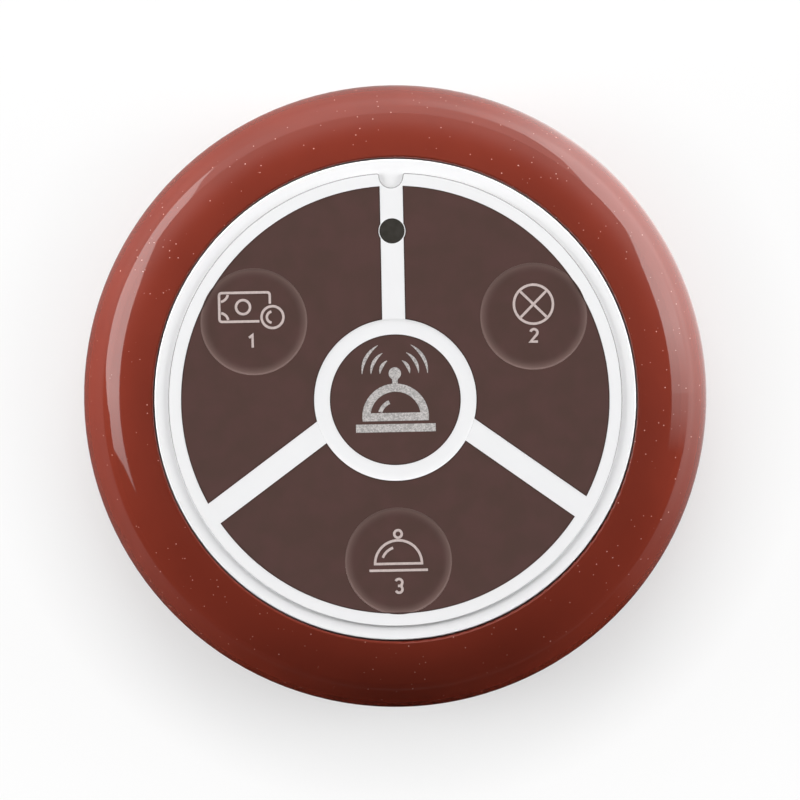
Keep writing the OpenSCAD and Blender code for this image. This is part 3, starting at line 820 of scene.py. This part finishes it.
class CALLBUTTON_OT_keys(bpy.types.Operator):
    """The four press zones, as dishes pressed into the film"""

    bl_idname = "callbutton.keys"
    bl_label = "Press Zones"
    bl_options = {"REGISTER", "UNDO"}

    def execute(self, context):
        chosen = context.scene.call_button
        film_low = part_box("overlay_film")[0].z
        face, keys = chosen.face, chosen.keys
        white = satin_plastic("zone_white", face.white, grain=0.15 * MM, depth=2 * MICRON, rough=0.44)
        for key in KEYS:
            middle, radius, nub_low, top = key_place(key)
            slope_w = keys.call_slope_w if key == "call" else keys.slope_w
            profile = dish_profile(keys, radius, film_low, nub_low, top, slope_w, dish_depth(key))
            finish = white if key == "call" else dark_film_finish("dark_film_" + key, (middle, radius))
            zone = piece(key + "_zone", lathe(profile, middle), finish, key)
            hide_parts(key + "_key")
        middle = key_place("call")[0]
        low, high = floor_levels(chosen, "call")
        disc_r, line_w = face.disc_r, face.edge_line_w
        disc = lathe([(0.0, low), (disc_r, low), (disc_r, high), (0.0, high)], middle)
        piece("call_disc", disc, bpy.data.materials["dark_film_print"], "call")
        rim = circle(middle, disc_r - line_w / 2, LATHE_STEPS)
        edge = stroke(rim, line_w, low, high + EDGE_RISE, closed=True)
        edge_ink = bpy.data.materials["dark_edge_ink"]
        piece("call_disc_edge", edge, edge_ink, "call", smooth=False)
        return {"FINISHED"}


# Symbols, in millimetres from the middle of their press zone: (path, width, closed), or (loops, None, True)
# for a filled shape from its outer loop and its hole; a small gap keeps the strokes apart

APART = 0.01


def moved(path, x, y):
    return [(px + x, py + y) for px, py in path]


def placed(path, middle):
    """A path in millimetres, as it lies on a press zone."""
    return [(middle[0] + x * MM, middle[1] + y * MM) for x, y in path]


def numeral(digit, x, y, height, width):
    """A plain numeral, drawn with lines that don't overlap."""
    h, w = height, 0.55 * height
    bar = []
    if digit == 1:
        path = [(-0.45 * w, 0.28 * h), (0.05 * w, 0.5 * h), (0.05 * w, -0.5 * h)]
    elif digit == 2:
        bow = arc((0.0, 0.5 * h - 0.5 * w), 0.5 * w, 165, -40, 14)
        path = bow + [(-0.5 * w, -0.5 * h), (0.55 * w, -0.5 * h)]
    else:
        bowl_r, waist = 0.25 * h, 40
        path = arc((0.0, bowl_r), bowl_r, 155, -waist, 14) + arc((0.0, -bowl_r), bowl_r, waist, -155, 14)
        waist_x = bowl_r * math.cos(math.radians(waist)) - width / 2 - APART
        bar = [([(-0.3 * bowl_r, 0.0), (waist_x, 0.0)], width)]
    return [(moved(line, x, y), line_w, False) for line, line_w in [(path, width), *bar]]


def note_and_coin(line_w):
    """A banknote with a coin in front of its corner."""
    coin, coin_r, clear = (2.75, -0.95), 1.4, 0.36
    left, right, low, high = -4.05, 2.45, -1.45, 2.25
    meet_x = coin[0] - math.sqrt((coin_r + clear) ** 2 - (low - coin[1]) ** 2)
    meet_y = coin[1] + math.sqrt((coin_r + clear) ** 2 - (right - coin[0]) ** 2)
    edge = [(right, meet_y), (right, high), (left, high), (left, low), (meet_x, low)]
    middle = ((left + right) / 2 - 0.2, (low + high) / 2)
    lines = [
        (rounded(edge, 0.4), line_w, False),
        (circle(middle, 0.9, 40), line_w, True),
        (arc((left, high), 1.15, -78, -12, 12), line_w, False),
        (arc((left, low), 1.15, 12, 78, 12), line_w, False),
        (circle(coin, coin_r, 48), line_w, True),
        (arc(coin, 0.72, 100, 260, 20), line_w, False),
    ]
    return [(moved(path, -0.35, 1.5), width, closed) for path, width, closed in lines]


def crossed_circle(line_w):
    """A circle with a cross in it."""
    middle, radius = (0.0, 1.55), 2.5
    reach, near = radius - line_w / 2 - 2 * APART, line_w / 2 + APART
    lines = [(circle(middle, radius, 64), line_w, True)]
    for heading, start in ((45, -reach), (135, near), (315, near)):
        across, up = math.cos(math.radians(heading)), math.sin(math.radians(heading))
        ends = [(middle[0] + across * r, middle[1] + up * r) for r in (start, reach)]
        lines.append((ends, line_w, False))
    return lines


def cloche(line_w):
    """A serving cover on its plate."""
    middle, radius, knob_r = (0.0, -0.35), 3.0, 0.48
    dome = arc(middle, radius, 0, 180, 48)
    knob = (0.0, middle[1] + radius + knob_r + line_w + 2 * APART)
    plate_y = middle[1] - 0.85
    return [
        (dome, line_w, True),
        (circle(knob, knob_r, 28), line_w, True),
        ([(-3.75, plate_y), (3.75, plate_y)], line_w, False),
        (arc(middle, 2.15, 108, 158, 16), line_w, False),
    ]


def cap(middle, radius, rise):
    """Outline of the part of a disc that lies above a level line."""
    start = math.degrees(math.asin(rise / radius))
    return arc(middle, radius, start, 180 - start, 60)


def bell(bold_w):
    """A counter bell with sound arcs to both sides."""
    middle, radius = (0.0, -2.2), 3.75
    top = middle[1] + radius + bold_w / 2
    knob_r, neck_w = 0.8, 0.7
    knob = (0.0, top + 0.5 + knob_r)
    foot_y = middle[1] - bold_w - 0.4
    outer, inner = cap(middle, radius + bold_w / 2, -bold_w / 2), cap(middle, radius - bold_w / 2, bold_w / 2)
    neck_top = knob[1] - math.sqrt(knob_r**2 - neck_w**2 / 4) - APART
    lines = [
        ([outer, inner], None, True),
        ([(-5.1, foot_y), (5.1, foot_y)], bold_w, False),
        ([(0.0, top + APART), (0.0, neck_top)], neck_w, False),
        (circle(knob, knob_r / 2, 32), knob_r - 2 * APART, True),
        (arc(middle, 2.05, 112, 162, 20), 0.5 * bold_w, False),
    ]
    for side in (1, -1):
        heading = 90 - side * 60
        for reach in (1.9, 3.05, 4.2):
            path = arc(knob, reach, heading - 30, heading + 30, 24)
            lines.append((path, lambda t: 0.06 + 0.36 * math.sin(math.pi * t), False))
    return lines


class CALLBUTTON_OT_symbols(bpy.types.Operator):
    """Light symbols and numerals on the press zones"""

    bl_idname = "callbutton.symbols"
    bl_label = "Symbols"
    bl_options = {"REGISTER", "UNDO"}

    def execute(self, context):
        chosen = context.scene.call_button
        ink, silver = line_ink_finish(), silver_ink_finish()
        line_w, bold_w = chosen.print.line_w / MM, chosen.print.bold_w / MM
        height = chosen.print.numeral_h / MM
        drawings = {
            "pay": (note_and_coin(line_w) + numeral(1, -0.25, -2.5, height, line_w), ink),
            "cancel": (crossed_circle(line_w) + numeral(2, 0.0, -2.45, height, line_w), ink),
            "order": (cloche(line_w) + numeral(3, 0.0, -3.2, 1.1 * height, line_w), ink),
            "call": (bell(bold_w), silver),
        }
        for key, (lines, finish) in drawings.items():
            middle = key_place(key)[0]
            low, high = floor_levels(chosen, key)
            high += chosen.face.print_t
            shapes = []
            for path, width, closed in lines:
                if width is None:
                    shapes.append(plate([placed(loop, middle) for loop in path], low, high))
                    continue
                size = (lambda t, w=width: w(t) * MM) if callable(width) else width * MM
                shapes.append(stroke(placed(path, middle), size, low, high, closed))
            piece(key + "_symbol", join(shapes), finish, key, smooth=False)
        return {"FINISHED"}


class CALLBUTTON_OT_inside(bpy.types.Operator):
    """Finishes of the board, the switches and the battery with its contacts"""

    bl_idname = "callbutton.inside"
    bl_label = "Inner Parts"
    bl_options = {"REGISTER", "UNDO"}

    def execute(self, context):
        dress(board_finish(), "circuit_board")
        dress(lens_finish(), "status_led")
        dress(epoxy_finish(), "encoder_chip", "radio_transistor", "resistors")
        dress(ceramic_finish(), "capacitors")
        dress(metal_finish("can_nickel", linear(206, 206, 208), 0.24), "radio_resonator")
        dress(metal_finish("antenna_copper", linear(200, 122, 78), 0.28), "antenna_wire")
        dress(sleeve_finish(), "battery")
        dress(metal_finish("contact_nickel", linear(198, 199, 202), 0.28), "battery_spring", "battery_plate")
        dress(metal_finish("switch_tin", linear(190, 190, 186), 0.36), *(key + "_switch" for key in KEYS))
        stem = satin_plastic("stem_black", linear(36, 36, 37), grain=0.12 * MM, rough=0.5)
        dress(stem, *(key + "_stem" for key in KEYS))
        return {"FINISHED"}


class CALLBUTTON_OT_base(bpy.types.Operator):
    """Finishes of the base, its door, feet and screws, and the arrow on the door"""

    bl_idname = "callbutton.base"
    bl_label = "Base and Door"
    bl_options = {"REGISTER", "UNDO"}

    def execute(self, context):
        eroded = base_finish()
        dress(eroded, "base_cover", "battery_door")
        dress(rubber_finish(), "rubber_feet")
        steel = metal_finish("screw_zinc", linear(196, 197, 200), 0.3)
        dress(steel, "case_screws", "board_screws")
        door_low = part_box("battery_door")[0]
        start_y = door_low.y + 16.6 * MM
        half_w, length, corner_r, relief, root = 3.2 * MM, 5.5 * MM, 0.5 * MM, 0.15 * MM, 0.1 * MM
        corners = [(-half_w, start_y), (half_w, start_y), (0.0, start_y - length)]
        arrow = plate([rounded(corners, corner_r, closed=True)], door_low.z - relief, door_low.z + root)
        piece("door_arrow", arrow, eroded, "door")
        return {"FINISHED"}


# Stage, in metres; a fade is the start and end of a ramp with the level, or share of a level, at both

FLOOR_HALF = 3.0
FLOOR_WHITE = (0.93, 0.93, 0.93, 1.0)
# Share of the floor's own light, which hides shadows, by the distance from the middle
FLOOR_FADE = (0.039, 0.054, 0.45, 0.9)
# The world's light by direction
FRONT_FADE, BEHIND_FADE, LOW_FADE = (-0.55, 0.1, 0.05, 1.0), (0.0, 0.6, 0.0, 1.0), (0.8, 0.1, 0.0, 1.0)
# Share of a source's light that shows in its mirror image in the object
MIRRORED = 0.44
# The kinds of ray that don't meet a softbox, and those that don't meet the card round the ring
CARD_UNSEEN = ("camera", "shadow")
MIRROR_ONLY = (*CARD_UNSEEN, "diffuse", "transmission")
# Place of the softboxes, and their corners as (Y, height)
SOFTBOX_X = 0.6
LEFT_SOFTBOX = (
    (-0.24, 0.37), (-0.05, 0.345), (0.21, 0.32), (0.36, 0.29), (0.48, 0.215), (0.6, 0.16),
    (0.77, 0.002), (0.2, 0.002), (0.08, 0.04), (-0.04, 0.1), (-0.12, 0.21), (-0.18, 0.3),
)
RIGHT_SOFTBOX = (
    (-0.16, 0.33), (0.21, 0.335), (0.32, 0.305), (0.45, 0.27), (0.6, 0.187), (0.81, 0.1),
    (1.1, 0.002), (-0.16, 0.002),
)
# How a softbox's level changes along Y
LEFT_FADE, RIGHT_FADE = (-0.24, 0.0, 0.5, 1.15), (-0.16, 0.12, 0.0, 1.15)
# The card round the ring: its height, its radii, and its level by the distance from the middle
GLOW_Z, GLOW_RADII, GLOW_FADE = 0.0006, (0.038, 1.5), (0.045, 0.1, 0.5, 1.0)
# Heading in degrees, anticlockwise from the right, and level
RING_GLOW = (
    (-180, 0.55), (-150, 0.5), (-135, 0.15), (-120, 0.0), (-45, 0.0), (-30, 0.55), (-15, 1.6), (0, 3.4),
    (15, 5.0), (30, 5.8), (55, 6.0), (70, 3.4), (90, 2.1), (120, 1.4), (150, 1.4), (170, 0.7), (180, 0.55),
)
# The lamps' distance from the middle, and the watts that light white to level 1 from 1 m away
LAMP_DISTANCE, LAMP_WATTS = 1.5, 9.87


def blank_material(name):
    """A material with no nodes yet, and what adds them."""
    material = bpy.data.materials.new(name)
    material.use_nodes = True
    material.node_tree.nodes.clear()
    return material, Nodes(material.node_tree)


def staged(name, corners, faces, material, unseen=()):
    """A mesh of the studio, and the kinds of ray that don't meet it."""
    made = mesh_object(name, corners, faces, material)
    for ray in unseen:
        setattr(made, "visible_" + ray, False)


def mirrored_share(nodes):
    """1 for light that falls on the object, and less where a source is mirrored in it."""
    glossy = nodes.add("LightPath").outputs["Is Glossy Ray"]
    return nodes.stretch(glossy, 0.0, 1.0, 1.0, MIRRORED)


def shine(nodes, level):
    """Makes a card's material give light of a level."""
    strength = nodes.math("MULTIPLY", level, mirrored_share(nodes))
    glow = nodes.add("Emission", {"Strength": strength})
    nodes.add("OutputMaterial", {0: glow.outputs[0]})


def fading(nodes, value, fade, level):
    """A level that goes along a fade."""
    start, end, start_share, end_share = fade
    return nodes.stretch(value, start, end, start_share * level, end_share * level)


def softbox(name, x, section, fade, level):
    """An upright softbox beside the object; its level changes along Y."""
    material, nodes = blank_material(name)
    shine(nodes, fading(nodes, nodes.axis("Y"), fade, level))
    corners = [(x, y, z) for y, z in section]
    staged(name, corners, [list(range(len(corners)))], material, CARD_UNSEEN)


def ring_glow():
    """What the ring's outer wall mirrors: a flat card round it whose level changes with the heading."""
    material, nodes = blank_material("ring_glow")
    heading = nodes.add("TexGradient", {"Vector": nodes.place}, gradient_type="RADIAL")
    levels = nodes.add("ValToRGB", {0: heading.outputs["Fac"]})
    most = max(level for _, level in RING_GLOW)
    stops = levels.color_ramp.elements
    while len(stops) < len(RING_GLOW):
        stops.new(0.5)
    for stop, (degrees, level) in zip(stops, RING_GLOW):
        stop.position = degrees / 360 + 0.5
        stop.color = (level / most, level / most, level / most, 1.0)
    shine(nodes, nodes.math("MULTIPLY", levels.outputs[0], fading(nodes, nodes.reach(), GLOW_FADE, most)))
    steps = 96
    corners = [(*point, GLOW_Z) for radius in GLOW_RADII for point in circle((0.0, 0.0), radius, steps)]
    faces = [[i, steps + i, steps + k, k] for i, k in pairs(list(range(steps)))]
    staged("ring_glow", corners, faces, material, MIRROR_ONLY)


def place_lamp(name, level, heading, rise, size):
    """A large round lamp, which isn't mirrored in the object; its level is what a surface facing it gets."""
    lamp = bpy.data.lights.new(name, "AREA")
    lamp.shape = "DISK"
    lamp.size = size
    lamp.energy = LAMP_WATTS * level * (LAMP_DISTANCE**2 + size**2 / 4)
    holder = linked(name, lamp)
    turn, tilt = math.radians(heading), math.radians(rise)
    away = Vector((math.cos(turn) * math.cos(tilt), math.sin(turn) * math.cos(tilt), math.sin(tilt)))
    facing = away.to_track_quat("Z", "Y").to_matrix().to_4x4()
    holder.matrix_world = Matrix.Translation(away * LAMP_DISTANCE) @ facing
    holder.visible_glossy = False


def floor_material():
    """White floor: it shows as white, and keeps the object's shadow close to the object."""
    material, nodes = blank_material("floor_white")
    ray = nodes.add("LightPath").outputs
    seen = nodes.math("MAXIMUM", ray["Is Camera Ray"], ray["Is Glossy Ray"])
    seen = nodes.math("MAXIMUM", seen, ray["Is Transmission Ray"])
    share = nodes.math("MULTIPLY", seen, nodes.stretch(nodes.reach(), *FLOOR_FADE))
    paper = nodes.add("BsdfDiffuse", {"Color": FLOOR_WHITE}).outputs[0]
    glow = nodes.add("Emission").outputs[0]
    mixed = nodes.add("MixShader", {0: share, 1: paper, 2: glow}).outputs[0]
    below = nodes.add("NewGeometry").outputs["Backfacing"]
    clear = nodes.add("BsdfTransparent").outputs[0]
    one_sided = nodes.add("MixShader", {0: below, 1: mixed, 2: clear}).outputs[0]
    nodes.add("OutputMaterial", {0: one_sided})
    return material


def studio_world(chosen):
    """Soft light that is brightest low behind the notch and dark in front; white to the camera."""
    world = bpy.data.worlds.new("studio")
    bpy.context.scene.world = world
    world.use_nodes = True
    nodes = Nodes(world.node_tree, "Generated")
    front, behind, lowness = (
        nodes.stretch(nodes.axis(axis), *fade, interpolation_type="SMOOTHSTEP")
        for axis, fade in (("Y", FRONT_FADE), ("Y", BEHIND_FADE), ("Z", LOW_FADE))
    )
    glow = nodes.math("MULTIPLY", nodes.math("MULTIPLY", lowness, behind), chosen.backdrop - chosen.overhead)
    lit = nodes.math("MULTIPLY", nodes.math("ADD", glow, chosen.overhead), front)
    lit = nodes.math("MULTIPLY", lit, mirrored_share(nodes))
    ray = nodes.add("LightPath").outputs
    white = nodes.math("MAXIMUM", ray["Is Camera Ray"], ray["Is Transmission Ray"])
    lit = nodes.math("MULTIPLY", lit, nodes.math("SUBTRACT", 1.0, white))
    back = world.node_tree.nodes["Background"]
    nodes.feed(back.inputs["Strength"], nodes.math("ADD", lit, white))
    nodes.feed(back.inputs["Color"], (1.0, 1.0, 1.0, 1.0))


def place_camera(chosen):
    """A camera with a long lens, nearly straight above the object."""
    lens = bpy.data.cameras.new("camera")
    lens.lens = chosen.lens
    lens.sensor_width = 36.0
    lens.clip_start, lens.clip_end = 0.01, 20.0
    camera = linked("camera", lens)
    back = Vector((0.0, math.sin(chosen.lean), math.cos(chosen.lean)))
    level_up, level_right = Vector((0.0, back.z, -back.y)), Vector((1.0, 0.0, 0.0))
    up = level_up * math.cos(chosen.roll) + level_right * math.sin(chosen.roll)
    aim = Vector((0.0, 0.0, chosen.aim_z)) + level_right * chosen.aim_x + level_up * chosen.aim_y
    turn = Matrix((up.cross(back), up, back)).transposed().to_4x4()
    camera.matrix_world = Matrix.Translation(aim + back * chosen.distance) @ turn
    bpy.context.scene.camera = camera


class CALLBUTTON_OT_stage(bpy.types.Operator):
    """Floor, soft studio light and the camera"""

    bl_idname = "callbutton.stage"
    bl_label = "Stage"
    bl_options = {"REGISTER", "UNDO"}

    def execute(self, context):
        stage = context.scene.call_button.stage
        context.scene.view_settings.view_transform = "Standard"
        studio_world(stage)
        corners = [(x * FLOOR_HALF, y * FLOOR_HALF, 0.0) for x, y in ((-1, -1), (1, -1), (1, 1), (-1, 1))]
        staged("floor", corners, [[0, 1, 2, 3]], floor_material())
        softbox("left_softbox", -SOFTBOX_X, LEFT_SOFTBOX, LEFT_FADE, stage.softbox)
        softbox("right_softbox", SOFTBOX_X, RIGHT_SOFTBOX, RIGHT_FADE, stage.softbox)
        ring_glow()
        place_lamp("key_light", stage.key_light, heading=90, rise=math.degrees(stage.key_rise), size=1.4)
        for name, heading in (("right_light", 5), ("left_light", 175)):
            place_lamp(name, stage.side_light, heading, rise=14, size=0.8)
        place_camera(stage)
        return {"FINISHED"}


class CALLBUTTON_PT_panel(bpy.types.Panel):
    """Lists the steps in the 3D view's sidebar"""

    bl_idname = "CALLBUTTON_PT_panel"
    bl_label = "Call Button"
    bl_space_type = "VIEW_3D"
    bl_region_type = "UI"
    bl_category = "Call Button"

    def draw(self, context):
        for step in STEPS:
            self.layout.operator(step.bl_idname)
        for name in CallButtonSettings.__annotations__:
            group = getattr(context.scene.call_button, name)
            box = self.layout.box()
            box.label(text=name.capitalize())
            for setting in group.bl_rna.properties:
                if setting.identifier not in ("rna_type", "name"):
                    box.prop(group, setting.identifier)


GROUPS = (
    RingSettings, FaceSettings, KeySettings, PrintSettings, BaseSettings, StageSettings, CallButtonSettings,
)
STEPS = (
    CALLBUTTON_OT_ring, CALLBUTTON_OT_frame, CALLBUTTON_OT_film, CALLBUTTON_OT_print, CALLBUTTON_OT_keys,
    CALLBUTTON_OT_symbols, CALLBUTTON_OT_inside, CALLBUTTON_OT_base, CALLBUTTON_OT_stage,
)
CLASSES = (*GROUPS, *STEPS, CALLBUTTON_PT_panel)


def register():
    for made in CLASSES:
        bpy.utils.register_class(made)
    bpy.types.Scene.call_button = PointerProperty(type=CallButtonSettings)


def unregister():
    del bpy.types.Scene.call_button
    for made in reversed(CLASSES):
        bpy.utils.unregister_class(made)


def main():
    register()
    for step in STEPS:
        section, action = step.bl_idname.split(".")
        getattr(getattr(bpy.ops, section), action)()


if __name__ == "__main__":
    main()
